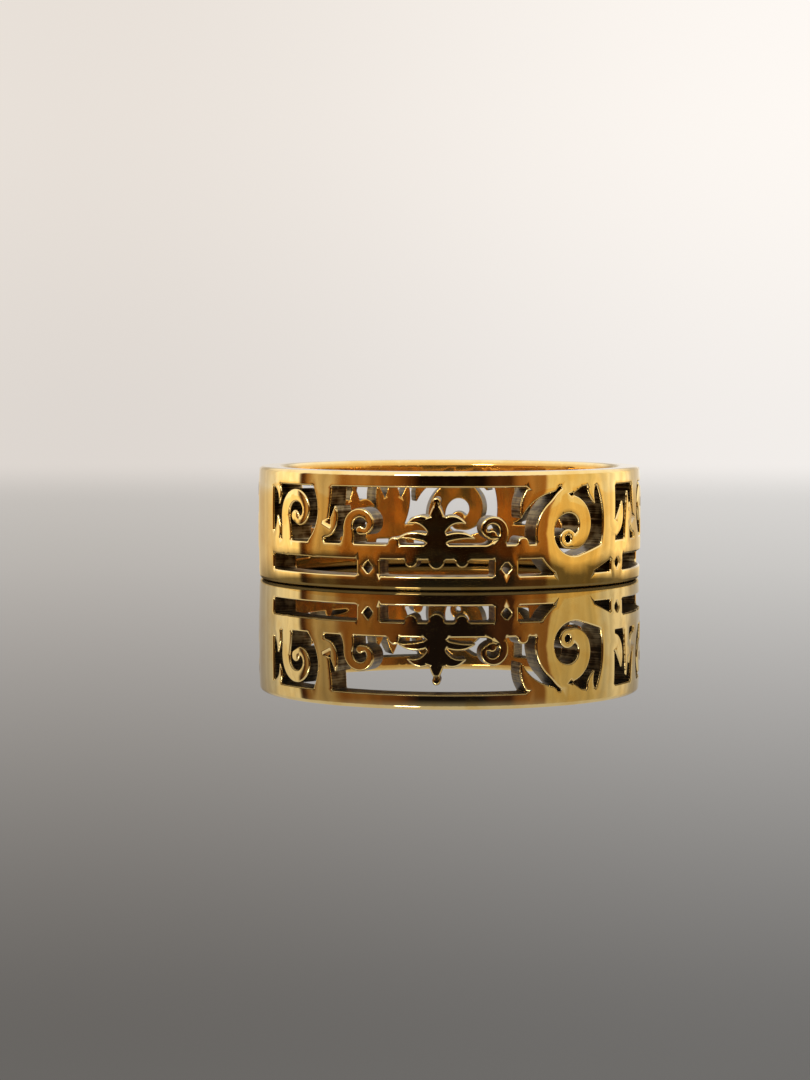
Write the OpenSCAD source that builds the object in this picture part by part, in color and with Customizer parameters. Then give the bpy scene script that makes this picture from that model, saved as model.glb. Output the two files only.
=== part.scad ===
// Openwork band ring, standing on its lower rim. Millimetres, +Z up, origin at the
// middle of the lower rim's face. Angles run round the band from -Y towards +X.

/* [Band] */
// Inner radius, where the finger goes
finger_r = 8.9; // [8.7:0.1:9.1]
// Thickness of the wall
wall = 1.35; // [1.3:0.05:1.4]
// Height of the band
band_h = 6.0; // [5.9:0.1:6.1]
// Chamfer along the edges of both rims
edge_c = 0.12; // [0.05:0.01:0.2]

/* [Pierced panels] */
// Angle that one pierced panel takes up
panel_deg = 161; // [159:1:163]
// Where the middle of the front panel lies
panel_mid_deg = 16.5; // [0:0.5:30]
// Height of the plain rim above the panels
top_rim = 0.8; // [0.75:0.05:0.85]
// Height of the plain rim below the panels
bottom_rim = 0.75; // [0.7:0.05:0.8]
// Height of the long slot above the bottom rim
slot_h = 0.8; // [0.75:0.05:0.85]
// Height of the bar that carries the ornament
bar_h = 0.8; // [0.75:0.05:0.85]

/* [Ornament] */
// Straight steps along a leaf
leaf_steps = 10; // [8:2:14]
// Turn of each straight step round a scroll, in degrees
scroll_step_deg = 15; // [12:1:18]
// Half-width of a post under the bar
post_half_w = 0.64; // [0.5:0.02:0.7]
// Half-width of the lozenge through a post
lozenge_half_w = 0.26; // [0.2:0.02:0.32]
// Half-height of the lozenge through a post
lozenge_half_h = 0.3; // [0.2:0.02:0.32]
// Radius of the eye drilled in the great scroll
eye_r = 0.17; // [0.1:0.01:0.22]

/* [Hidden] */
$fn = 48;

outer_r = finger_r + wall;
window_top = band_h - top_rim;
bar_low = bottom_rim + slot_h;
bar_top = bar_low + bar_h;
lozenge_z = bottom_rim + slot_h / 2;

// The ornament is drawn on a flat strip: u runs along the panel from its left end,
// z up from the band's lower edge. It is stretched to the panel's real size.
strip_len = 28.8;
strip_h = 6;
lily_u = 10.8;
post_u = [7.2, 14.4, 21.9];
// Bars, one a row: where it starts and ends
bars = [[-1, 16.6], [20.6, strip_len + 1]];

// How far the window is cut past both faces of the wall, and the bars past the window
cut_past = 0.6;
overlap = 0.2;
// Prisms start this far inside the wall, so that a wide one still spans the window's cut
prism_past = 1.4;
prism_len = wall + prism_past + 2 * cut_past;

// A leaf whose tip is wider than capped_w meets the rim, under a cap wider than the tip
capped_w = 0.1;
cap_swell = 1.08;
thinnest = 0.04;
stem_steps = 6;
spiral_power = 0.9;

// Leaves, one a row: root, bend and tip as [u, z], half-widths at root, belly and tip
end_leaves = [
    [[-0.20, 2.05], [0.80, 2.40], [0.55, 3.55], [0.55, 0.38, 0.05]],
    [[3.80, 2.10], [4.80, 3.60], [4.35, 5.40], [0.55, 0.40, 0.66]],
    [[4.50, 2.75], [5.20, 2.95], [5.25, 4.20], [0.16, 0.30, 0.05]],
    [[0.25, 5.30], [1.00, 4.95], [0.72, 4.20], [0.30, 0.20, 0.05]],
];
curl_leaf = [[16.90, 5.40], [15.45, 5.10], [15.20, 3.70], [0.50, 0.40, 0.05]];
great_leaves = [
    [[16.90, 4.10], [17.60, 5.00], [19.10, 5.45], [0.20, 0.34, 0.16]],
    [[19.65, 5.40], [19.42, 4.90], [19.85, 4.30], [0.34, 0.24, 0.05]],
];
tall_leaves = [
    [[20.95, 2.05], [21.30, 3.60], [20.85, 5.40], [0.62, 0.60, 0.84]],
    [[21.40, 2.70], [22.30, 3.00], [22.45, 4.30], [0.25, 0.40, 0.05]],
    [[23.15, 2.05], [23.15, 3.10], [23.15, 4.80], [0.40, 0.30, 0.05]],
];
// A palmette stands on the back panel where the front one has its right curl
palmette = [
    [[13.60, 2.10], [13.60, 3.30], [13.60, 5.00], [0.50, 0.60, 0.05]],
    [[13.50, 2.10], [12.75, 3.30], [12.55, 4.60], [0.45, 0.42, 0.05]],
    [[13.70, 2.10], [14.45, 3.30], [14.65, 4.60], [0.45, 0.42, 0.05]],
];
// Petals of the lily, as leaves: the middle one, and the two on its right
middle_petal = [[lily_u, 2.30], [lily_u, 3.20], [lily_u, 4.45], [0.15, 0.46, 0.05]];
side_petals = [
    [[lily_u - 0.10, 2.40], [lily_u + 0.42, 4.05], [lily_u + 1.46, 3.42], [0.22, 0.30, 0.06]],
    [[lily_u - 0.10, 2.40], [lily_u + 1.05, 3.02], [lily_u + 1.95, 2.66], [0.15, 0.22, 0.05]],
];

// Scrolls: root of the stem as [u, z] and its half-width, centre as [u, z], radii at the
// mouth and the eye, angle of the mouth and sweep, half-widths at both, radius of the eye
end_scroll = [[1.50, 2.05], 0.50, [2.55, 3.80], [1.16, 0.30], [190, -330], [0.40, 0.20], 0.33];
left_curl = [[5.85, 2.05], 0.40, [6.84, 3.27], [0.82, 0.27], [190, -300], [0.29, 0.15], 0.24];
right_curl = [[13.65, 2.05], 0.38, [13.60, 3.05], [0.70, 0.23], [-20, 300], [0.25, 0.12], 0.20];
great_scroll =
    [[21.40, 1.95], 0.50, [18.15, 3.05], [2.06, 0.55], [-72, -400], [0.62, 0.38], 0.52];

// Beads, one a row: centre as [u, z] and radius
lily_beads = [
    [[lily_u, 4.52], 0.22],
    [[lily_u, 2.40], 0.60],
    [[lily_u - 1.3, 1.50], 0.34],
    [[lily_u, 1.50], 0.42],
    [[lily_u + 1.3, 1.50], 0.34],
];
left_bead = [[8.60, 2.40], 0.32];
right_bead = [[15.30, 2.40], 0.32];
bud_bead = [[23.15, 2.40], 0.36];

function flip_u(p, about) = [2 * about - p[0], p[1]];
function flip_leaf(leaf, about) =
    [flip_u(leaf[0], about), flip_u(leaf[1], about), flip_u(leaf[2], about), leaf[3]];
function flip_scroll(s, about) =
    [flip_u(s[0], about), s[1], flip_u(s[2], about), s[3], [180 - s[4][0], -s[4][1]], s[5], s[6]];

petals = concat(
    [middle_petal],
    side_petals,
    [for (petal = side_petals) flip_leaf(petal, lily_u)]
);
far_leaves = [for (leaf = end_leaves) flip_leaf(leaf, strip_len / 2)];
far_scroll = flip_scroll(end_scroll, strip_len / 2);

// Bays, one a row: u of its middle, leaves, scrolls and beads. All that stands in a bay
// is cut through the wall in one direction, towards the axis at the bay's middle.
curl_bay = [15.0, [curl_leaf], [right_curl], [right_bead]];
palmette_bay = [14.4, concat([curl_leaf], palmette), [], [right_bead]];
function bays_with(fourth) = [
    [2.6, end_leaves, [end_scroll], []],
    [7.0, [], [left_curl], [left_bead]],
    [lily_u, petals, [], lily_beads],
    fourth,
    [18.4, great_leaves, [great_scroll], []],
    [21.8, tall_leaves, [], [bud_bead]],
    [strip_len - 2.6, far_leaves, [far_scroll], []],
];

// A bend through three points: the quadratic Bezier curve
function bend(a, b, c, t) = (1 - t) * (1 - t) * a + 2 * t * (1 - t) * b + t * t * c;
// A width that passes through three values at t = 0, 0.5 and 1
function swell(w, t) =
    w[0] * (1 - t) * (1 - 2 * t) + 4 * w[1] * t * (1 - t) + w[2] * t * (2 * t - 1);
function polar(r, a) = [r * cos(a), r * sin(a)];
function left_of(v) = [-v[1], v[0]] / norm(v);

// The outline of a stroke, anticlockwise: its spine moved to both sides by the half-width
function outline(spine, half_w) =
    let (
        last = len(spine) - 1,
        side = [for (i = [0:last]) left_of(spine[min(i + 1, last)] - spine[max(i - 1, 0)])]
    )
    concat(
        [for (i = [0:last]) spine[i] - side[i] * half_w[i]],
        [for (i = [last:-1:0]) spine[i] + side[i] * half_w[i]]
    );

function leaf_outline(leaf) =
    let (
        root = leaf[0], belly = leaf[1], tip = leaf[2],
        steps = [for (i = [0:leaf_steps]) i / leaf_steps]
    )
    outline(
        [for (t = steps) bend(root, belly, tip, t)],
        [for (t = steps) max(swell(leaf[3], t), thinnest)]
    );

// A scroll's spiral: its radius shrinks with the turn, a little faster at the mouth
function spiral_at(s, t) =
    let (centre = s[2], radii = s[3], mouth_deg = s[4][0], sweep = s[4][1])
    centre + polar(radii[0] + (radii[1] - radii[0]) * pow(t, spiral_power), mouth_deg + sweep * t);
function scroll_outline(s) =
    let (
        root = s[0], root_w = s[1], mouth_w = s[5][0], eye_w = s[5][1],
        turn_steps = ceil(abs(s[4][1]) / scroll_step_deg),
        mouth = spiral_at(s, 0),
        heading = polar(1, s[4][0] + 90 * sign(s[4][1])),
        knee = mouth - heading * norm(mouth - root) / 2,
        stem = [for (i = [0:stem_steps - 1]) i / stem_steps],
        turn = [for (i = [0:turn_steps]) i / turn_steps]
    )
    outline(
        concat([for (t = stem) bend(root, knee, mouth, t)], [for (t = turn) spiral_at(s, t)]),
        concat([for (t = stem) root_w + (mouth_w - root_w) * t],
               [for (t = turn) mouth_w + (eye_w - mouth_w) * t])
    );

// The angle round the band of a place on the strip
function deg_at(u) = panel_mid_deg - panel_deg / 2 + panel_deg * u / strip_len;
// A place on the strip as seen square on at u_mid, where the outer face bends away
function seen_from(u_mid, p) =
    [outer_r * sin(deg_at(p[0]) - deg_at(u_mid)), p[1] * band_h / strip_h];

// The plain tube, chamfered along its four edges
module tube() {
    rotate_extrude()
        polygon([
            [finger_r + edge_c, 0], [outer_r - edge_c, 0],
            [outer_r, edge_c], [outer_r, band_h - edge_c],
            [outer_r - edge_c, band_h], [finger_r + edge_c, band_h],
            [finger_r, band_h - edge_c], [finger_r, edge_c]
        ]);
}

// A stretch of ring, wider than the wall on both sides
module sector(u_from, u_to, z_from, z_to, past) {
    rotate([0, 0, deg_at(u_from) - 90])
        rotate_extrude(angle = deg_at(u_to) - deg_at(u_from))
            translate([finger_r - past, z_from])
                square([wall + 2 * past, z_to - z_from]);
}

// Turns a flat shape at a place on the strip into a prism that points at the axis
module through_wall(u) {
    rotate([0, 0, deg_at(u)])
        translate([0, prism_past - finger_r, 0])
            rotate([90, 0, 0])
                linear_extrude(height = prism_len)
                    children();
}

module bars_and_posts() {
    for (bar = bars) sector(bar[0], bar[1], bar_low, bar_top, cut_past + overlap);
    for (u = post_u)
        through_wall(u)
            translate([-post_half_w, bottom_rim - overlap])
                square([2 * post_half_w, slot_h + 2 * overlap]);
}

// The metal of one bay: its leaves, scrolls and beads, drawn flat as one outline
module bay_metal(bay) {
    u_mid = bay[0];
    leaves = bay[1];
    scrolls = bay[2];
    beads = bay[3];
    through_wall(u_mid) {
        for (leaf = leaves) {
            tip = leaf[2];
            tip_w = leaf[3][2];
            polygon([for (p = leaf_outline(leaf)) seen_from(u_mid, p)]);
            if (tip_w > capped_w)
                translate(seen_from(u_mid, tip)) circle(r = tip_w * cap_swell);
        }
        for (s = scrolls) {
            polygon([for (p = scroll_outline(s)) seen_from(u_mid, p)]);
            translate(seen_from(u_mid, spiral_at(s, 1))) circle(r = s[6]);
        }
        for (bead = beads)
            translate(seen_from(u_mid, bead[0])) circle(r = bead[1]);
    }
}

// What is cut away from one panel: its window, less the bars, the posts, and the
// ornament of its first bays, one bay after another
module panel_cut(bays, bays_done) {
    if (bays_done == 0)
        difference() {
            sector(0, strip_len, bottom_rim, window_top, cut_past);
            bars_and_posts();
        }
    else
        difference() {
            panel_cut(bays, bays_done - 1);
            bay_metal(bays[bays_done - 1]);
        }
}

// The small holes in the metal: a lozenge through each post, and the great scroll's eye
module piercings() {
    for (u = post_u)
        through_wall(u)
            translate([0, lozenge_z])
                polygon([
                    [-lozenge_half_w, 0], [0, -lozenge_half_h],
                    [lozenge_half_w, 0], [0, lozenge_half_h]
                ]);
    eye = spiral_at(great_scroll, 1);
    through_wall(eye[0])
        translate(seen_from(eye[0], eye)) circle(r = eye_r);
}

// The back panel lies as the front one mirrored about the middle of the plain stretch
module at_back() {
    mirror(polar(1, panel_mid_deg + 90)) children();
}

module openwork_band() {
    front = bays_with(curl_bay);
    back = bays_with(palmette_bay);
    color("goldenrod")
        difference() {
            difference() {
                difference() {
                    tube();
                    panel_cut(front, len(front));
                }
                at_back() panel_cut(back, len(back));
            }
            piercings();
            at_back() piercings();
        }
}

openwork_band();
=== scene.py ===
# Openwork band ring in polished yellow gold, standing on its lower rim.
# Shapes are worked out in millimetres on the unrolled band: u runs along the outer face
# from the panel's left end, z up from the floor. Objects are in metres.
import math
import bpy
import numpy as np
from mathutils.geometry import delaunay_2d_cdt
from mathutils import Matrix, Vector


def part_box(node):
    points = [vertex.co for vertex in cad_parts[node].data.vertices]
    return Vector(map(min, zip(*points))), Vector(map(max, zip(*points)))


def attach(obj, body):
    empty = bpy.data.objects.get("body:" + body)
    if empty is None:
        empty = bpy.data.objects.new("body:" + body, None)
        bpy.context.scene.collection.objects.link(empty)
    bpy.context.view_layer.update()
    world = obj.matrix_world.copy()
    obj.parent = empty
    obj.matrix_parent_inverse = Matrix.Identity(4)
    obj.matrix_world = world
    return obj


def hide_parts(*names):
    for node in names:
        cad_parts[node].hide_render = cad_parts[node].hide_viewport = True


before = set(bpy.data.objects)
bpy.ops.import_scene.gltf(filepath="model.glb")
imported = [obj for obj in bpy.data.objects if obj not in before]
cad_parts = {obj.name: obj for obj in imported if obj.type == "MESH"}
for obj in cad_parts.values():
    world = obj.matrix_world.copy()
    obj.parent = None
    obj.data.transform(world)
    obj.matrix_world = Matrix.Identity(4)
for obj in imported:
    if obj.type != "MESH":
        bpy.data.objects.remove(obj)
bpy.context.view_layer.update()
mm = 0.001
bandLow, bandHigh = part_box("openwork_band")
outerRadius = (bandHigh.x - bandLow.x) / 2 / mm
bandHeight = (bandHigh.z - bandLow.z) / mm


# Camera

# Read off the photograph, in its own pixels, and in outer radii of the band
photo = {
    "width": 810,
    "height": 1080,
    "bandColumn": 449.3,      # where the band's axis stands
    "bandHalfWidth": 191.3,
    "horizonRow": 371.4,      # the row at the camera's own height
    "distance": 14.5,         # from the camera to the axis
    "rise": 1.076,            # of the camera above the floor
}


def addCamera():
    # A round band is seen along tangents, so its half-width is focal / sqrt(distance^2 - 1)
    focal = photo["bandHalfWidth"] * math.sqrt(photo["distance"] ** 2 - 1)
    lens = bpy.data.cameras.new("camera")
    lens.sensor_fit = "VERTICAL"
    lens.sensor_height = 36
    lens.lens = focal * lens.sensor_height / photo["height"]
    lens.clip_start = 0.005
    lens.clip_end = 20
    camera = bpy.data.objects.new("camera", lens)
    radius = outerRadius * mm
    camera.location = (0, -photo["distance"] * radius, photo["rise"] * radius)
    down = math.atan((photo["height"] / 2 - photo["horizonRow"]) / focal)
    left = math.atan((photo["bandColumn"] - photo["width"] / 2) / focal)
    camera.rotation_euler = (math.pi / 2 - down, 0, left)
    bpy.context.scene.collection.objects.link(camera)
    bpy.context.scene.camera = camera


addCamera()
print("camera placed")


# The pierced pattern

band = {
    "wall": 1.35,
    "topRim": 0.8,
    "bottomRim": 0.75,
    "slotHeight": 0.8,
    "barHeight": 0.8,
    "panelTurn": 161,             # degrees of the band that one pierced panel takes up
    "panelMiddle": 16.5,          # degrees from the front's middle to the panel's middle
    "stripLength": 28.8,          # the panel unrolled
    "posts": (7.2, 14.4, 21.9),
    "postHalfWidth": 0.64,
    "lozengeHalfWidth": 0.26,
    "lozengeHalfHeight": 0.30,
    "eyeRadius": 0.17,
    "windowCorner": 0.15,         # rounding of the window's own corners
    "fillet": 0.10,               # how softly strokes run into each other
}
barLow = band["bottomRim"] + band["slotHeight"]
barTop = barLow + band["barHeight"]
bars = ((-1, 16.6), (20.6, band["stripLength"] + 1))   # the great scroll stands between the two
lilyU = 10.8

# Leaves: root, bend and tip as (u, z), half-widths at root, belly and tip
endLeaves = (
    ((-0.20, 2.05), (0.80, 2.40), (0.55, 3.55), (0.55, 0.38, 0.05)),
    ((3.80, 2.10), (4.80, 3.60), (4.35, 5.40), (0.55, 0.40, 0.66)),
    ((4.50, 2.75), (5.20, 2.95), (5.25, 4.20), (0.16, 0.30, 0.05)),
    ((0.25, 5.30), (1.00, 4.95), (0.72, 4.20), (0.30, 0.20, 0.05)),
)
greatLeaves = (
    ((16.90, 5.40), (15.45, 5.10), (15.20, 3.70), (0.50, 0.40, 0.05)),
    ((16.90, 4.10), (17.60, 5.00), (19.10, 5.45), (0.20, 0.34, 0.16)),
    ((19.65, 5.40), (19.42, 4.90), (19.85, 4.30), (0.34, 0.24, 0.05)),
    ((20.95, 2.05), (21.30, 3.60), (20.85, 5.40), (0.62, 0.60, 0.84)),
    ((21.40, 2.70), (22.30, 3.00), (22.45, 4.30), (0.25, 0.40, 0.05)),
    ((23.15, 2.05), (23.15, 3.10), (23.15, 4.80), (0.40, 0.30, 0.05)),
)
# It stands on the back panel where the front one has its right curl
palmette = (
    ((13.60, 2.10), (13.60, 3.30), (13.60, 5.00), (0.50, 0.60, 0.05)),
    ((13.50, 2.10), (12.75, 3.30), (12.55, 4.60), (0.45, 0.42, 0.05)),
    ((13.70, 2.10), (14.45, 3.30), (14.65, 4.60), (0.45, 0.42, 0.05)),
)
middlePetal = ((lilyU, 2.30), (lilyU, 3.20), (lilyU, 4.45), (0.15, 0.46, 0.05))
sidePetals = (
    ((lilyU - 0.10, 2.40), (lilyU + 0.42, 4.05), (lilyU + 1.46, 3.42), (0.22, 0.30, 0.06)),
    ((lilyU - 0.10, 2.40), (lilyU + 1.05, 3.02), (lilyU + 1.95, 2.66), (0.15, 0.22, 0.05)),
)
# Scrolls: root of the stem and its half-width, centre, radii at mouth and eye, angle of
# the mouth and sweep in degrees, half-widths at mouth and eye, radius of the eye
endScroll = ((1.50, 2.05), 0.50, (2.55, 3.80), (1.16, 0.30), (190, -330), (0.40, 0.20), 0.33)
leftCurl = ((5.85, 2.05), 0.40, (6.84, 3.27), (0.82, 0.27), (190, -300), (0.29, 0.15), 0.24)
rightCurl = ((13.65, 2.05), 0.38, (13.60, 3.05), (0.70, 0.23), (-20, 300), (0.25, 0.12), 0.26)
greatScroll = ((21.40, 1.95), 0.50, (18.15, 3.05), (2.06, 0.55), (-72, -400), (0.62, 0.38), 0.52)
# Beads: centre and radius
beads = (
    ((lilyU, 4.52), 0.22),
    ((lilyU, 2.40), 0.60),
    ((lilyU - 1.3, 1.50), 0.34),
    ((lilyU, 1.50), 0.42),
    ((lilyU + 1.3, 1.50), 0.34),
    ((8.60, 2.40), 0.32),
    ((15.30, 2.40), 0.32),
    ((23.15, 2.40), 0.36),
)


def bend(a, b, c, t):
    # The quadratic curve from a to c that leans towards b
    return np.outer((1 - t) ** 2, a) + np.outer(2 * t * (1 - t), b) + np.outer(t ** 2, c)


def leafStroke(leaf, steps=24, thinnest=0.04):
    # Spine: the curve through root, bend and tip. Half-width: the parabola through its three values
    root, belly, tip, (rootW, bellyW, tipW) = leaf
    t = np.linspace(0, 1, steps + 1)
    halfW = rootW * (1 - t) * (1 - 2 * t) + 4 * bellyW * t * (1 - t) + tipW * t * (2 * t - 1)
    return bend(root, belly, tip, t), np.maximum(halfW, thinnest)


def spiral(scroll, t, power=0.9):
    # centre + radius(t) at angle mouth + sweep t, the radius going from mouth to eye as t^power
    radii, (mouth, sweep) = scroll[3], scroll[4]
    radius = radii[0] + (radii[1] - radii[0]) * t ** power
    angle = np.radians(mouth + sweep * t)
    return np.array(scroll[2]) + radius[:, None] * np.stack([np.cos(angle), np.sin(angle)], 1)


def scrollStroke(scroll, stemSteps=10, degreesPerStep=7):
    # A stem that leaves its root and runs straight into the spiral's mouth, then the spiral
    root, rootW, _, _, (mouthAt, sweep), (mouthW, eyeW), _ = scroll
    turn = np.linspace(0, 1, int(abs(sweep) / degreesPerStep) + 1)
    coil = spiral(scroll, turn)
    side = math.radians(mouthAt + math.copysign(90, sweep))
    heading = np.array([math.cos(side), math.sin(side)])
    knee = coil[0] - heading * np.linalg.norm(coil[0] - root) / 2
    stem = np.linspace(0, 1, stemSteps + 1)[:-1]
    spine = np.vstack([bend(root, knee, coil[0], stem), coil])
    halfW = np.concatenate([rootW + (mouthW - rootW) * stem, mouthW + (eyeW - mouthW) * turn])
    return spine, halfW


def mirrored(stroke, about):
    spine, halfW = stroke
    return spine * (-1, 1) + (2 * about, 0), halfW


def scrollEye(scroll):
    return spiral(scroll, np.array([1.0]))[0]


def ornament(isBack):
    # One panel's strokes as (spine, half-widths) and its round beads as (centre, radius)
    endStrokes = [leafStroke(leaf) for leaf in endLeaves] + [scrollStroke(endScroll)]
    petals = [leafStroke(petal) for petal in sidePetals]
    strokes = endStrokes + [mirrored(s, band["stripLength"] / 2) for s in endStrokes]
    strokes += petals + [mirrored(s, lilyU) for s in petals]
    strokes += [leafStroke(leaf) for leaf in (middlePetal,) + greatLeaves]
    if isBack:
        strokes += [leafStroke(leaf) for leaf in palmette]
    scrolls = (endScroll, leftCurl, greatScroll) + (() if isBack else (rightCurl,))
    strokes += [scrollStroke(scroll) for scroll in scrolls[1:]]
    eyes = [(scrollEye(scroll), scroll[6]) for scroll in scrolls]
    farEye = (eyes[0][0] * (-1, 1) + (band["stripLength"], 0), eyes[0][1])
    return strokes, [(np.array(centre), radius) for centre, radius in beads] + eyes + [farEye]


def strokeDepth(p, spine, halfW):
    # Depth inside a stroke: the half-width at the nearest point of the spine, less the distance to it
    start, step = spine[:-1], np.diff(spine, axis=0)
    t = np.clip(((p[:, None] - start) * step).sum(2) / (step ** 2).sum(1), 0, 1)
    gap = np.linalg.norm(p[:, None] - start - t[..., None] * step, axis=2)
    return (halfW[:-1] + t * np.diff(halfW) - gap).max(1)


def boxDepth(p, low, high, corner=0.0):
    # Depth inside a rectangle with rounded corners, negative outside
    low, high = np.array(low), np.array(high)
    over = np.abs(p - (low + high) / 2) - (high - low) / 2 + corner
    return corner - np.linalg.norm(np.maximum(over, 0), axis=1) - np.minimum(over.max(1), 0)


def softMax(a, b):
    # The larger of two depths, with a fillet where they are within reach of each other
    reach = band["fillet"]
    return np.maximum(a, b) + np.maximum(reach - np.abs(a - b), 0) ** 2 / (4 * reach)


def cutDepth(p, pattern):
    # How deep places on the strip lie in the metal, in mm from the nearest cut edge
    strokes, rounds = pattern
    length, top = band["stripLength"], bandHeight - band["topRim"]
    depth = -boxDepth(p, (0, band["bottomRim"]), (length, top), band["windowCorner"])
    for left, right in bars:
        depth = softMax(depth, boxDepth(p, (left, barLow), (right, barTop)))
    for u in band["posts"]:
        half = band["postHalfWidth"]
        depth = softMax(depth, boxDepth(p, (u - half, band["bottomRim"] - 0.3), (u + half, barLow + 0.3)))
    for spine, halfW in strokes:
        past = halfW.max() + 0.5
        near = ((p > spine.min(0) - past) & (p < spine.max(0) + past)).all(1)
        depth[near] = softMax(depth[near], strokeDepth(p[near], spine, halfW))
    for centre, radius in rounds:
        depth = softMax(depth, radius - np.linalg.norm(p - centre, axis=1))
    eye = np.linalg.norm(p - scrollEye(greatScroll), axis=1) - band["eyeRadius"]
    depth = np.minimum(depth, eye)
    a, b = band["lozengeHalfWidth"], band["lozengeHalfHeight"]
    for u in band["posts"]:
        off = np.abs(p - (u, band["bottomRim"] + band["slotHeight"] / 2))
        depth = np.minimum(depth, (off[:, 0] / a + off[:, 1] / b - 1) * a * b / math.hypot(a, b))
    return depth


def cutSlope(p, pattern, step=0.004):
    # The direction in which the depth grows, by central differences
    du = cutDepth(p + (step, 0), pattern) - cutDepth(p - (step, 0), pattern)
    dz = cutDepth(p + (0, step), pattern) - cutDepth(p - (0, step), pattern)
    slope = np.stack([du, dz], 1)
    return slope / np.maximum(np.linalg.norm(slope, axis=1), 1e-9)[:, None]


# The band's surface

surface = {
    "gridStep": 0.078,            # spacing of the points along a cut edge
    "outerRows": (0.0134, 0.05, 0.10, 0.20, 0.36),   # rows of points, by depth from the cut edge
    "outerSpacing": (0.03, 0.035, 0.045, 0.09, 0.15),
    "rimRows": (0.016, 0.06, 0.13, 0.22, 0.34),
    "rimStep": 0.25,
    "rowSlack": (0.12, 0.002),    # how far from its own depth a row's point may lie, as a share and in mm
    "swings": (0, 0.6, -0.6, 0.85, -0.85),   # radians, for the fans of points round the openings' corners
    "swungFrom": 0.04,            # the least depth of a row that has them
    "fieldStep": 0.42,            # spacing of the points far from any edge
    "fieldFrom": 0.50,            # their least depth
    "fieldLow": 0.33,             # and where their lowest row lies
    "wallRows": 4,
}
# The radius of each face, of its rounded edges round the openings and along the rims, how much it sinks
# towards an opening and from how far away, and how much it falls off towards the rims
outerFace = {
    "outward": 1,
    "radius": outerRadius,
    "cutEdge": 0.10,
    "rimEdge": 0.20,
    "sag": 0.017,
    "sagReach": 0.24,
    "crown": 0.08,
}
innerFace = {
    "outward": -1,
    "radius": outerRadius - band["wall"],
    "cutEdge": 0.06,
    "rimEdge": 0.36,
    "sag": 0.0,
    "sagReach": 0.24,
    "crown": 0.0,
}
mirrorDegrees = band["panelMiddle"] + 90
plainHalf = (180 - band["panelTurn"]) / 2 * band["stripLength"] / band["panelTurn"]
uLeft, uRight = -plainHalf, band["stripLength"] + plainHalf


def degreesAt(u):
    return band["panelMiddle"] - band["panelTurn"] / 2 + band["panelTurn"] * u / band["stripLength"]


def cutEdges(pattern):
    # The lines of zero depth. Each cell of a grid that they pass through holds one point, the mean of the
    # places where they cross its sides, and each crossed side links the cells on both sides of it. The
    # metal lies on the left of a link. The grid starts at odd places, so that none of its lines runs along
    # a straight edge.
    step = surface["gridStep"]
    us = np.arange(-0.2863, band["stripLength"] + 0.3 + step, step)
    zs = np.arange(band["bottomRim"] - 0.2429, bandHeight - band["topRim"] + 0.25 + step, step)
    nodes = np.stack(np.meshgrid(us, zs, indexing="ij"), -1)
    depth = cutDepth(nodes.reshape(-1, 2), pattern).reshape(len(us), len(zs))
    metal = depth > 0
    alongU = metal[1:] != metal[:-1]
    alongZ = metal[:, 1:] != metal[:, :-1]
    with np.errstate(divide="ignore", invalid="ignore"):
        tu = np.where(alongU, depth[:-1] / (depth[:-1] - depth[1:]), 0)
        tz = np.where(alongZ, depth[:, :-1] / (depth[:, :-1] - depth[:, 1:]), 0)
    onU = (nodes[:-1] + tu[..., None] * (step, 0)) * alongU[..., None]
    onZ = (nodes[:, :-1] + tz[..., None] * (0, step)) * alongZ[..., None]
    total = onU[:, :-1] + onU[:, 1:] + onZ[:-1] + onZ[1:]
    count = alongU[:, :-1].astype(int) + alongU[:, 1:] + alongZ[:-1] + alongZ[1:]
    crossed = count > 0
    points = total[crossed] / count[crossed][:, None]
    number = np.full(crossed.shape, -1)
    number[crossed] = np.arange(len(points))
    below, above = number[:, :-1], number[:, 1:]
    side = alongU[:, 1:-1]
    leftMetal = metal[:-1, 1:-1][side]
    rising = np.stack([below[side], above[side]], 1)
    links = [np.where(leftMetal[:, None], rising, rising[:, ::-1])]
    before, after = number[:-1], number[1:]
    side = alongZ[1:-1]
    upperMetal = metal[1:-1, 1:][side]
    running = np.stack([before[side], after[side]], 1)
    links.append(np.where(upperMetal[:, None], running, running[:, ::-1]))
    for _ in range(4):
        points = points - cutSlope(points, pattern) * cutDepth(points, pattern)[:, None]
    return points, np.vstack(links)


def thinned(points, spacing):
    # At most one point in each square of the given size
    _, first = np.unique(np.round(points / spacing).astype(int), axis=0, return_index=True)
    return points[np.sort(first)]


def swung(directions, angle):
    # Directions turned by an angle in radians
    cos, sin = math.cos(angle), math.sin(angle)
    return directions @ np.array([[cos, sin], [-sin, cos]])


def frameLoop():
    # The border of half the unrolled band, anticlockwise, and which of its links lie on a rim
    rows = np.array(surface["rimRows"])
    around = np.linspace(uLeft, uRight, int((uRight - uLeft) / surface["rimStep"]) + 1)
    field = np.arange(rows[-1] + 0.2, bandHeight - rows[-1] - 0.1, surface["fieldStep"])
    up = np.concatenate([rows, field, bandHeight - rows[::-1]])
    low = np.stack([around, np.zeros_like(around)], 1)
    right = np.stack([np.full_like(up, uRight), up], 1)
    top = np.stack([around[::-1], np.full_like(around, bandHeight)], 1)
    left = np.stack([np.full_like(up, uLeft), up[::-1]], 1)
    loop = np.vstack([low, right, top, left])
    links = np.stack([np.arange(len(loop)), np.roll(np.arange(len(loop)), -1)], 1)
    onRim = (loop[links[:, 0], 1] == loop[links[:, 1], 1]) & np.isin(loop[links[:, 0], 1], (0, bandHeight))
    return loop, links, onRim


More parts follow.
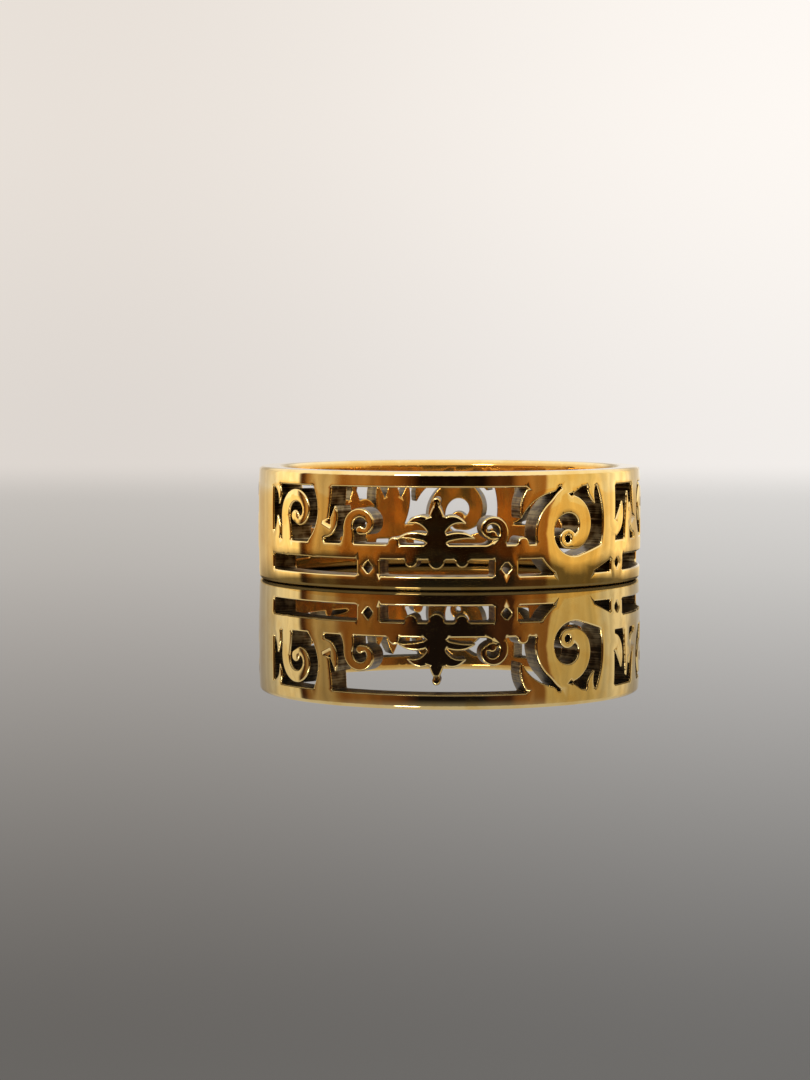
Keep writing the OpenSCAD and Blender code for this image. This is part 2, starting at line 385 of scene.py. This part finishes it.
def metalTriangles(triangles, links):
    # A triangle that a link runs along its own way is metal, and so is every one next to it that no
    # link parts from it
    size = triangles.max() + 1
    sides = np.stack([triangles, np.roll(triangles, -1, axis=1)], 2)
    isMetal = np.isin(sides @ (size, 1), links @ (size, 1)).any(1)
    keys = (sides.min(2) * size + sides.max(2)).ravel()
    owner = np.repeat(np.arange(len(triangles)), 3)
    order = np.argsort(keys, kind="stable")
    keys, owner = keys[order], owner[order]
    shared = (keys[1:] == keys[:-1]) & ~np.isin(keys[1:], links.min(1) * size + links.max(1))
    first, second = owner[:-1][shared], owner[1:][shared]
    reached = 0
    while isMetal.sum() > reached:
        reached = isMetal.sum()
        isMetal[first[isMetal[second]]] = True
        isMetal[second[isMetal[first]]] = True
    return isMetal


def unrolledHalf(pattern):
    # Points, triangles and edge links of half the band, unrolled
    edge, edgeLinks = cutEdges(pattern)
    loop, loopLinks, onRim = frameLoop()
    inward = cutSlope(edge, pattern)
    rows = []
    for row, spacing in zip(surface["outerRows"], surface["outerSpacing"]):
        swings = surface["swings"] if row > surface["swungFrom"] else (0,)
        moved = thinned(np.vstack([edge + swung(inward, swing) * row for swing in swings]), spacing)
        share, least = surface["rowSlack"]
        rows.append(moved[np.abs(cutDepth(moved, pattern) - row) < share * row + least])
    around = loop[loop[:, 1] == 0][1:-1, 0]
    heights = np.array(surface["rimRows"])
    heights = np.concatenate([heights, bandHeight - heights])
    rimPoints = np.stack(np.meshgrid(around, heights, indexing="ij"), -1).reshape(-1, 2)
    fieldU = np.arange(uLeft + surface["fieldStep"] / 2, uRight - 0.1, surface["fieldStep"])
    fieldZ = np.arange(surface["fieldLow"], bandHeight - 0.2, surface["fieldStep"])
    field = np.stack(np.meshgrid(fieldU, fieldZ, indexing="ij"), -1).reshape(-1, 2)
    field = field[cutDepth(field, pattern) > surface["fieldFrom"]]
    points = np.vstack([edge, loop] + rows + [rimPoints, field])
    links = np.vstack([edgeLinks, loopLinks + len(edge)])
    out, _, faces, _, _, _ = delaunay_2d_cdt(points.tolist(), links.tolist(), [], 0, 1e-6)
    if len(out) != len(points):
        raise ValueError(f"the triangulation made {len(out)} points of {len(points)}")
    triangles = np.array(faces)
    a, b, c = (points[triangles[:, i]] for i in range(3))
    area = (b - a)[:, 0] * (c - a)[:, 1] - (b - a)[:, 1] * (c - a)[:, 0]
    triangles[area < 0] = triangles[area < 0][:, ::-1]
    isMetal = metalTriangles(triangles, links)
    wallLinks = np.vstack([edgeLinks, loopLinks[onRim] + len(edge)])
    return points, triangles[isMetal], wallLinks, len(edge)


def rounding(depth, radius):
    # A quarter round along an edge: how far the face has dropped at this depth, and the sine of its tilt
    left = np.clip(1 - depth / radius, 0, 1)
    return radius * (1 - np.sqrt(1 - left ** 2)), left


def sheet(points, depth, slope, face):
    # Radius and normal of one face of the band, the normal in parts along (radius, turn, height). The face
    # drops by quarter rounds at its cut edges and rims, by sag e^(-depth / reach) towards an opening, and
    # by crown t^4 towards the rims, where t is the height from the middle in half-heights
    outward = face["outward"]
    rimDepth = np.minimum(points[:, 1], bandHeight - points[:, 1])
    rimSide = np.where(points[:, 1] < bandHeight / 2, 1.0, -1.0)
    cutDrop, cutTilt = rounding(depth, face["cutEdge"])
    rimDrop, rimTilt = rounding(rimDepth, face["rimEdge"])
    hollow = face["sag"] * np.exp(-depth / face["sagReach"])
    cutTilt = np.minimum(cutTilt + hollow / face["sagReach"], 1)
    flat = np.sqrt(1 - cutTilt ** 2) * np.sqrt(1 - rimTilt ** 2)
    t = 2 * points[:, 1] / bandHeight - 1
    crown = face["crown"] * t ** 4
    crownSlope = face["crown"] * 8 * t ** 3 / bandHeight
    normal = np.stack([
        outward * flat,
        -slope[:, 0] * cutTilt,
        -slope[:, 1] * cutTilt - rimSide * rimTilt + crownSlope * flat,
    ], 1)
    normal /= np.linalg.norm(normal, axis=1)[:, None]
    return face["radius"] - outward * (cutDrop + rimDrop + hollow + crown), normal


def halfBand(pattern):
    # Half the band as places (radius, degrees, height), normals, triangles, their material and seam marks
    points, triangles, links, edgeCount = unrolledHalf(pattern)
    count = len(points)
    depth = np.maximum(cutDepth(points, pattern), 0)
    depth[:edgeCount] = 0
    slope = cutSlope(points, pattern)
    outerR, outerN = sheet(points, depth, slope, outerFace)
    innerR, innerN = sheet(points, depth, slope, innerFace)
    onEdge = np.unique(links)
    sideSlope = slope[onEdge]
    rim = onEdge >= edgeCount
    sideSlope[rim] = np.stack([np.zeros(rim.sum()), np.where(points[onEdge[rim], 1] > 0, -1, 1)], 1)
    share = np.linspace(0, 1, surface["wallRows"] + 1)[1:-1]
    radii, normals, places = [outerR, innerR], [outerN, innerN], [points, points]
    ringIndex = [np.arange(count)]
    for k, s in enumerate(share):
        r = outerR[onEdge] * (1 - s) + innerR[onEdge] * s
        n = np.stack([0 * r, -sideSlope[:, 0] * outerRadius / r, -sideSlope[:, 1]], 1)
        radii.append(r)
        normals.append(n / np.linalg.norm(n, axis=1)[:, None])
        places.append(points[onEdge])
        index = np.full(count, -1)
        index[onEdge] = 2 * count + k * len(onEdge) + np.arange(len(onEdge))
        ringIndex.append(index)
    ringIndex.append(np.arange(count, 2 * count))
    faces = [triangles, triangles[:, ::-1] + count]
    kinds = [np.zeros(2 * len(triangles), int)]
    cut = links[:, 0] < edgeCount
    for near, far in zip(ringIndex[:-1], ringIndex[1:]):
        a, b, c, d = near[links[:, 0]], far[links[:, 0]], far[links[:, 1]], near[links[:, 1]]
        faces += [np.stack([a, b, c], 1), np.stack([a, c, d], 1)]
        kinds += [cut.astype(int), cut.astype(int)]
    places = np.vstack(places)
    seam = (np.abs(places[:, 0] - uLeft) < 1e-6) | (np.abs(places[:, 0] - uRight) < 1e-6)
    spots = np.stack([np.concatenate(radii), degreesAt(places[:, 0]), places[:, 1]], 1)
    return spots, np.vstack(normals), np.vstack(faces), np.concatenate(kinds), seam


def turned(spots, parts):
    # Places and normals from (radius, degrees from the front towards the right, height) to x, y, z
    angle = np.radians(spots[:, 1])
    sin, cos = np.sin(angle), np.cos(angle)
    where = np.stack([spots[:, 0] * sin, -spots[:, 0] * cos, spots[:, 2]], 1)
    facing = np.stack([
        parts[:, 0] * sin + parts[:, 1] * cos,
        -parts[:, 0] * cos + parts[:, 1] * sin,
        parts[:, 2],
    ], 1)
    return where, facing


def bandMesh():
    # The front half, and the back one turned over about the middle of the plain stretch. Both have the
    # same points along the seams, in the same order, and are welded there
    spots, parts, faces, kinds, seam = halfBand(ornament(False))
    print("front half meshed")
    backSpots, backParts, backFaces, backKinds, backSeam = halfBand(ornament(True))
    print("back half meshed")
    backSpots = backSpots * (1, -1, 1) + (0, 2 * mirrorDegrees, 0)
    index = np.empty(len(backSpots), int)
    index[backSeam] = np.flatnonzero(seam)
    index[~backSeam] = len(spots) + np.arange((~backSeam).sum())
    where, facing = turned(spots, parts)
    backWhere, backFacing = turned(backSpots, backParts * (1, -1, 1))
    where = np.vstack([where, backWhere[~backSeam]])
    facing = np.vstack([facing, backFacing[~backSeam]])
    triangles = np.vstack([faces, index[backFaces][:, ::-1]])
    arc = math.radians(1) * outerRadius
    strip = np.vstack([spots[faces.ravel()], backSpots[backFaces[:, ::-1].ravel()]])[:, 1:] * (arc, 1)
    return where * mm, facing, triangles, np.concatenate([kinds, backKinds]), strip / 10


def addBand(materials):
    where, facing, triangles, kinds, strip = bandMesh()
    mesh = bpy.data.meshes.new("openworkBand")
    mesh.vertices.add(len(where))
    mesh.vertices.foreach_set("co", where.ravel())
    mesh.loops.add(triangles.size)
    mesh.loops.foreach_set("vertex_index", triangles.ravel())
    mesh.polygons.add(len(triangles))
    mesh.polygons.foreach_set("loop_start", np.arange(0, triangles.size, 3))
    mesh.polygons.foreach_set("material_index", kinds)
    mesh.update(calc_edges=True)
    mesh.shade_smooth()
    layer = mesh.uv_layers.new(name="strip")   # along the band and up it, in centimetres
    layer.data.foreach_set("uv", strip.ravel())
    mesh.normals_split_custom_set_from_vertices(facing.tolist())
    for material in materials:
        mesh.materials.append(material)
    piece = bpy.data.objects.new("openworkBand", mesh)
    bpy.context.scene.collection.objects.link(piece)
    print("band:", len(where), "points,", len(triangles), "triangles")
    return piece


# Materials

finish = {
    "gold": (0.96, 0.73, 0.33),
    "rubbedGold": (0.90, 0.62, 0.22),   # where the polish is a little deeper in colour
    "polish": (0.035, 0.10),            # least and most roughness of the polished faces
    "insidePaintedShade": (0.77, 0.415, 0.085),  # painted shade: the inside's gold is a deeper amber than the outside's, standing in for the shade and gold-on-gold reflections inside the band
    "insideFrom": (0.12, 0.01),         # mm out from the inner face over which its painted shade sets in
    "insidePolish": 0.055,              # the roughness that the inside has more
    "insideSheen": 0.10,                # the inside's share of plain gold colour
    "waves": 1.9,                       # mm between the slow waves of a hand-polished face
    "waveDepth": 0.0035,                # mm
    "smears": 1.3,                      # mm between the faint smears
    "smearsFrom": (0.42, 0.70),         # the noise over which they set in
    "hairlines": 0.035,                 # mm between the finest polishing lines
    # Painted shade: the cut walls' two colours are far darker than gold, for the shade inside the openings;
    # their lines and patches are the cut's own
    "cutShadedLight": (0.38, 0.29, 0.155),
    "cutShadedDark": (0.075, 0.042, 0.014),
    "cutRoughness": (0.30, 0.50),
    "cutLines": 0.11,                   # mm between the lines that run through the wall
    "cutLineDepth": 0.006,              # mm
    "cutPatches": 0.55,                 # mm between the lighter and darker patches
    "cutPatchShare": 0.9,
    "cutLightFrom": (0.82, 1.16),       # lines and patches together over which the light colour sets in
}


class NodeTree:
    # Short calls for building a node tree
    def __init__(self, tree):
        self.tree = tree

    def add(self, kind, operation=None, inputs=(), **settings):
        # Adds a node. Each input is a value or another node's output, by position or by name
        node = self.tree.nodes.new(kind)
        if operation:
            node.operation = operation
        for key, value in settings.items():
            setattr(node, key, value)
        pairs = inputs.items() if isinstance(inputs, dict) else enumerate(inputs)
        for key, value in pairs:
            self.feed(node, key, value)
        return node

    def feed(self, node, key, value):
        if isinstance(value, bpy.types.NodeSocket):
            self.tree.links.new(value, node.inputs[key])
        elif value is not None:
            node.inputs[key].default_value = value

    def mixColors(self, factor, first, second):
        node = self.add("ShaderNodeMix", data_type="RGBA")
        self.feed(node, "Factor", factor)
        for key, value in ((6, first), (7, second)):
            self.feed(node, key, value + (1,) if isinstance(value, tuple) else value)
        return node.outputs[2]

    def remap(self, value, fromLow, fromHigh, toLow=0.0, toHigh=1.0, smooth=False):
        node = self.add("ShaderNodeMapRange", interpolation_type="SMOOTHSTEP" if smooth else "LINEAR")
        for key, number in enumerate((value, fromLow, fromHigh, toLow, toHigh)):
            self.feed(node, key, number)
        return node.outputs[0]

    def noise(self, vector, scale, detail=2.0):
        return self.add("ShaderNodeTexNoise", inputs={
            "Vector": vector, "Scale": scale, "Detail": detail}).outputs["Fac"]


def newMaterial(name):
    material = bpy.data.materials.new(name)
    material.use_nodes = True
    return material, NodeTree(material.node_tree), material.node_tree.nodes["Principled BSDF"]


def linesGroup():
    # Streaks: noise that is drawn out along the first axis of its vector and narrow across it
    group = bpy.data.node_groups.new("streaks", "ShaderNodeTree")
    sockets = (("Vector", "NodeSocketVector", None), ("Along", "NodeSocketFloat", 1.0),
               ("Across", "NodeSocketFloat", 50.0), ("Detail", "NodeSocketFloat", 2.0))
    for name, kind, value in sockets:
        socket = group.interface.new_socket(name, in_out="INPUT", socket_type=kind)
        if value is not None:
            socket.default_value = value
    group.interface.new_socket("Streaks", in_out="OUTPUT", socket_type="NodeSocketFloat")
    n = NodeTree(group)
    inlet, outlet = n.add("NodeGroupInput"), n.add("NodeGroupOutput")
    scale = n.add("ShaderNodeCombineXYZ", inputs=(
        inlet.outputs["Along"], inlet.outputs["Across"], inlet.outputs["Across"]))
    drawn = n.add("ShaderNodeVectorMath", "MULTIPLY", (inlet.outputs["Vector"], scale.outputs[0]))
    streaks = n.noise(drawn.outputs[0], 1.0, inlet.outputs["Detail"])
    n.feed(outlet, "Streaks", streaks)
    return group


streaksGroup = linesGroup()


def streaks(n, vector, along, across, detail=2.0):
    node = n.add("ShaderNodeGroup")
    node.node_tree = streaksGroup
    for key, value in (("Vector", vector), ("Along", along), ("Across", across), ("Detail", detail)):
        n.feed(node, key, value)
    return node.outputs["Streaks"]


def polishedGold():
    # Mirror polish: slow waves bend what it mirrors, fine lines and faint smears dull it here and there.
    # The inside of the band is painted a deeper amber as shade
    material, n, shader = newMaterial("polishedGold")
    place = n.add("ShaderNodeTexCoord").outputs["Object"]
    strip = n.add("ShaderNodeUVMap", uv_map="strip").outputs[0]
    waves = n.noise(place, 1 / (finish["waves"] * mm), 1.0)
    smears = n.noise(place, 1 / (finish["smears"] * mm), 4.0)
    lines = streaks(n, strip, 4.0, 10 / finish["hairlines"], 3.0)
    mask = n.remap(smears, *finish["smearsFrom"], smooth=True)
    flat = n.add("ShaderNodeVectorMath", "MULTIPLY", (place, (1, 1, 0))).outputs[0]
    radius = n.add("ShaderNodeVectorMath", "LENGTH", (flat,)).outputs["Value"]
    inside = n.remap(radius, *((innerFace["radius"] + out) * mm for out in finish["insideFrom"]))
    outer = n.mixColors(mask, finish["gold"], finish["rubbedGold"])
    # Painted shade: the inside's colour is a deeper amber than the outside's
    n.feed(shader, "Base Color", n.mixColors(inside, outer, finish["insidePaintedShade"]))
    dulled = n.add("ShaderNodeMath", "MULTIPLY", (mask, lines)).outputs[0]
    polish = n.remap(dulled, 0.0, 0.6, *finish["polish"])
    n.feed(shader, "Roughness", n.add(
        "ShaderNodeMath", "MULTIPLY_ADD", (inside, finish["insidePolish"], polish)).outputs[0])
    height = n.add("ShaderNodeMath", "MULTIPLY_ADD", (lines, 0.02, waves)).outputs[0]
    bump = n.add("ShaderNodeBump", inputs={
        "Strength": 1.0, "Distance": finish["waveDepth"] * mm, "Height": height})
    n.feed(shader, "Normal", bump.outputs[0])
    n.feed(shader, "Metallic", n.remap(inside, 0.0, 1.0, 1.0, 1.0 - finish["insideSheen"]))
    return material


def cutGold():
    # The walls of the piercings: plated but left as cut, with lines that run through the wall. Their two
    # colours are kept far darker than gold as painted shade of the openings
    material, n, shader = newMaterial("cutGold")
    strip = n.add("ShaderNodeUVMap", uv_map="strip").outputs[0]
    place = n.add("ShaderNodeTexCoord").outputs["Object"]
    lines = n.noise(strip, 10 / finish["cutLines"], 3.0)
    patches = n.noise(place, 1 / (finish["cutPatches"] * mm), 3.0)
    shade = n.add("ShaderNodeMath", "MULTIPLY_ADD", (patches, finish["cutPatchShare"], lines)).outputs[0]
    mask = n.remap(shade, *finish["cutLightFrom"], smooth=True)
    # Painted shade: both colours are far darker than gold; the patches between them are the cut's own
    n.feed(shader, "Base Color", n.mixColors(mask, finish["cutShadedDark"], finish["cutShadedLight"]))
    n.feed(shader, "Roughness", n.remap(mask, 0.0, 1.0, *finish["cutRoughness"]))
    bump = n.add("ShaderNodeBump", inputs={
        "Strength": 1.0, "Distance": finish["cutLineDepth"] * mm, "Height": lines})
    n.feed(shader, "Normal", bump.outputs[0])
    n.feed(shader, "Metallic", 1.0)
    return material


piece = addBand((polishedGold(), cutGold()))
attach(piece, "root")
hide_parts("openwork_band")
print("band dressed")


# Studio

# Angles between a ray and the floor are given as 1 - cosine, from 0 straight down to 1 along it
studio = {
    "floorReach": 1.5,            # metres to the front and the sides
    "floorFade": (0.08, 0.19),    # metres behind the band's axis over which the floor ends
    "floorEnd": (0.17, 0.45),     # metres from the axis over which it ends all round
    "floorGloss": (0.46, 0.79),   # angles over which the gloss takes over
    "floorGrazing": (0.006, 0.0050, 0.0035),
    "floorFacing": (0.50, 0.49, 0.47),
    "floorIndex": 1.30,
    "bandsMirror": (0.862, 0.927, 0.13, 0.95),   # angles, and how much the floor mirrors there for the band
    "bandsFloor": (1.0, 0.86, 0.60),
    "bandsRoughness": 0.012,
    "bandsPale": (0.77, 0.45),    # angles over which the band sees the floor pale
    "bandsFoot": (0.75, 2.4),     # mm from the wall's middle over which it does so
    # painted shadow: the floor as the band sees it near its foot and at glancing angles
    "bandsFootShadow": (0.01, 0.01, 0.01),
    "backdropHigh": (0.95, 0.905, 0.86),
    "backdropLow": (0.85, 0.815, 0.785),
    "leftTint": (0.85, 0.825, 0.80),    # the surroundings behind the band get darker to the left
    "rightTint": (1.05, 1.05, 1.05),
    "dome": (1.05, 1.03, 1.00),
    "tintFrom": (-0.15, 0.15),    # sine of the turn to the right over which the tints change
    "backShade": 0.60,            # how dark the surroundings get behind the band, up to the dome
    "behind": (2.5, 2.8),         # radians of turn over which the surroundings behind the band set in
    "domeFrom": (0.18, 0.42),     # sine of the elevation where the surroundings give way to the dome
    "shadeFrom": (0.07, 0.28),    # the same where the shade behind the band sets in
    "shadeEnd": (0.42, 0.27),     # and where it ends
    "backdropFrom": (-0.04, 0.10),   # and where the low backdrop gives way to the high one
    "streakShade": (0.80, 1.20),
    "streakEnd": (2.4, 2.8),      # radians of turn over which the streaks end
}
softbox = {
    "size": (0.045, 0.04),
    "watts": 0.10,
    "color": (1.0, 0.97, 0.92),
    "place": (-0.075, -0.15, 0.11),
}
# The surroundings, by degrees from the camera's side towards the right, as the band mirrors them
shades = {
    "pale": (0.88, 0.855, 0.825),
    "white": (1.10, 1.04, 0.92),
    "glow": (1.32, 1.20, 0.98),
    "mist": (0.68, 0.64, 0.60),
    "cream": (0.94, 0.86, 0.70),
    "straw": (0.84, 0.67, 0.35),
    "tan": (0.56, 0.43, 0.26),
    "honey": (0.40, 0.20, 0.065),
    "amber": (0.29, 0.125, 0.034),
    "russet": (0.20, 0.075, 0.016),
    "brown": (0.072, 0.026, 0.009),
    "black": (0.0075, 0.003, 0.001),
}
surround = (
    (-166, "pale"),
    (-156, "mist"),
    (-138, "mist"),
    (-126, "white"),
    (-113, "glow"),
    (-102, "glow"),
    (-99.5, "brown"),
    (-96, "brown"),
    (-93, "honey"),
    (-88, "tan"),
    (-74, "tan"),
    (-67, "amber"),
    (-50, "honey"),
    (-44, "amber"),
    (-30, "russet"),
    (-23, "brown"),
    (-17, "black"),
    (20, "black"),
    (27, "brown"),
    (37, "brown"),
    (42, "amber"),
    (52, "honey"),
    (59, "amber"),
    (62, "straw"),
    (97, "straw"),
    (105, "cream"),
    (114, "cream"),
    (120, "glow"),
    (130, "glow"),
    (142, "mist"),
    (156, "mist"),
    (166, "pale"),
)


def addFloor():
    # A smooth pale board under a gloss that takes over at glancing angles and mirrors by Fresnel's law. The
    # band sees it pale only from above and away from its own foot; elsewhere it sees a painted contact
    # shadow
    reach = studio["floorReach"]
    back = studio["floorFade"][1]
    corners = [(-reach, -reach, 0), (reach, -reach, 0), (reach, back, 0), (-reach, back, 0)]
    mesh = bpy.data.meshes.new("floor")
    mesh.from_pydata(corners, [], [(0, 1, 2, 3)])
    material, n, shader = newMaterial("floor")
    output = material.node_tree.nodes["Material Output"]
    turned = n.add("ShaderNodeLayerWeight", inputs={"Blend": 0.5}).outputs["Facing"]
    pale = n.add("ShaderNodeBsdfPrincipled")
    for layer, color in ((shader, studio["floorGrazing"]), (pale, studio["floorFacing"])):
        n.feed(layer, "Base Color", color + (1,))
        n.feed(layer, "Roughness", 0.0)   # a sharp mirror, which the surroundings tell from the band
        n.feed(layer, "IOR", studio["floorIndex"])
    board = n.add("ShaderNodeMixShader", inputs=(
        n.remap(turned, *studio["floorGloss"], smooth=True), pale.outputs[0], shader.outputs[0]))
    mirror = n.add("ShaderNodeBsdfAnisotropic", inputs={"Roughness": studio["bandsRoughness"]})
    n.feed(mirror, "Color", studio["bandsFloor"] + (1,))
    glancing = n.remap(turned, *studio["bandsMirror"])
    place = n.add("ShaderNodeTexCoord").outputs["Object"]
    far = n.add("ShaderNodeVectorMath", "LENGTH", (place,)).outputs["Value"]
    middle = (outerRadius - band["wall"] / 2) * mm
    apart = n.add("ShaderNodeMath", "ABSOLUTE", (
        n.add("ShaderNodeMath", "SUBTRACT", (far, middle)).outputs[0],)).outputs[0]
    away = n.remap(apart, *(foot * mm for foot in studio["bandsFoot"]), smooth=True)
    steep = n.remap(turned, *studio["bandsPale"], smooth=True)
    lit = n.add("ShaderNodeMath", "MULTIPLY", (away, steep)).outputs[0]
    # Painted shadow: where lit is low the band sees a near-black floor, standing in for its contact shadow
    under = n.add("ShaderNodeBsdfDiffuse", inputs={
        "Color": n.mixColors(lit, studio["bandsFootShadow"], studio["floorFacing"])})
    seen = n.add("ShaderNodeMixShader", inputs=(glancing, under.outputs[0], mirror.outputs[0]))
    path = n.add("ShaderNodeLightPath")
    either = n.add("ShaderNodeMixShader", inputs=(
        path.outputs["Is Camera Ray"], seen.outputs[0], board.outputs[0]))
    backwards = n.add("ShaderNodeSeparateXYZ", inputs=(place,)).outputs["Y"]
    ending = n.add("ShaderNodeMath", "MAXIMUM", (
        n.remap(backwards, *studio["floorFade"], smooth=True),
        n.remap(far, *studio["floorEnd"], smooth=True))).outputs[0]
    clear = n.add("ShaderNodeBsdfTransparent")
    faded = n.add("ShaderNodeMixShader", inputs=(ending, either.outputs[0], clear.outputs[0]))
    n.feed(output, "Surface", faded.outputs[0])
    mesh.materials.append(material)
    floor = bpy.data.objects.new("floor", mesh)
    bpy.context.scene.collection.objects.link(floor)


def addSurround():
    # A room as the band mirrors it: upright bands of shade by direction, a bright dome above and below.
    # The camera sees a plain backdrop in its place
    world = bpy.data.worlds.new("studio")
    bpy.context.scene.world = world
    world.use_nodes = True
    n = NodeTree(world.node_tree)
    background = world.node_tree.nodes["Background"]
    direction = n.add("ShaderNodeTexCoord").outputs["Generated"]
    parts = n.add("ShaderNodeSeparateXYZ", inputs=(direction,))
    towards = n.add("ShaderNodeMath", "MULTIPLY", (parts.outputs["Y"], -1.0)).outputs[0]
    turn = n.add("ShaderNodeMath", "ARCTAN2", (parts.outputs["X"], towards)).outputs[0]
    # Straight off the floor's sharp mirror, every side looks as the one behind the band does: more than a
    # full turn is added, which the remaps below hold at their far ends
    path = n.add("ShaderNodeLightPath").outputs
    bearing = n.add("ShaderNodeMath", "MULTIPLY_ADD", (path["Is Singular Ray"], 10.0, turn)).outputs[0]
    ramp = n.add("ShaderNodeValToRGB", inputs=(n.remap(bearing, -math.pi, math.pi),))
    stops = ramp.color_ramp.elements
    while len(stops) < len(surround):
        stops.new(0.5)
    for stop, (degrees, name) in zip(stops, surround):
        stop.position = (degrees + 180) / 360
        stop.color = shades[name] + (1,)
    # Upright streaks break up the bands
    upright = n.add("ShaderNodeCombineXYZ", inputs=(parts.outputs["Z"], turn, 0.0)).outputs[0]
    around = n.add("ShaderNodeMath", "ABSOLUTE", (bearing,)).outputs[0]
    least, most = (n.remap(around, *studio["streakEnd"], shade, 1.0) for shade in studio["streakShade"])
    broken = n.remap(streaks(n, upright, 0.6, 9.0, 3.0), 0.30, 0.70, least, most)
    bands = n.add("ShaderNodeMix", data_type="RGBA", blend_type="MULTIPLY", clamp_result=False)
    n.feed(bands, "Factor", 1.0)
    n.feed(bands, 6, ramp.outputs[0])
    height = n.add("ShaderNodeMath", "ABSOLUTE", (parts.outputs["Z"],)).outputs[0]
    behind = n.remap(around, *studio["behind"])
    side = n.remap(parts.outputs["X"], *studio["tintFrom"], smooth=True)
    tint = n.mixColors(side, studio["leftTint"], studio["rightTint"])
    n.feed(bands, 7, n.add("ShaderNodeVectorMath", "SCALE", inputs={
        "Vector": n.mixColors(behind, (1.0, 1.0, 1.0), tint), "Scale": broken}).outputs[0])
    high = n.remap(height, *studio["domeFrom"], smooth=True)
    climbing = n.add("ShaderNodeMath", "MULTIPLY", (
        n.remap(height, *studio["shadeFrom"]), n.remap(height, *studio["shadeEnd"]))).outputs[0]
    climbing = n.add("ShaderNodeMath", "MULTIPLY", (climbing, behind)).outputs[0]
    room = n.add("ShaderNodeVectorMath", "SCALE", inputs={
        "Vector": n.mixColors(high, bands.outputs[2], studio["dome"]),
        "Scale": n.remap(climbing, 0.0, 1.0, 1.0, studio["backShade"])}).outputs[0]
    rising = n.remap(parts.outputs["Z"], *studio["backdropFrom"], smooth=True)
    backdrop = n.mixColors(rising, studio["backdropLow"], studio["backdropHigh"])
    plain = n.add("ShaderNodeVectorMath", "MULTIPLY", (backdrop, tint)).outputs[0]
    n.feed(background, "Color", n.mixColors(path["Is Camera Ray"], room, plain))


def addSoftbox():
    # A soft light above and to the left of the camera
    box = bpy.data.lights.new("softbox", "AREA")
    box.shape = "RECTANGLE"
    box.size, box.size_y = softbox["size"]
    box.energy = softbox["watts"]
    box.color = softbox["color"]
    light = bpy.data.objects.new("softbox", box)
    light.location = softbox["place"]
    aim = math.atan2(-light.location.x, -light.location.y)
    lean = math.atan2(math.hypot(light.location.x, light.location.y), light.location.z)
    light.rotation_euler = (lean, 0, -aim)
    bpy.context.scene.collection.objects.link(light)


addFloor()
addSurround()
addSoftbox()
bpy.context.scene.view_settings.view_transform = "Standard"
print("studio lit")
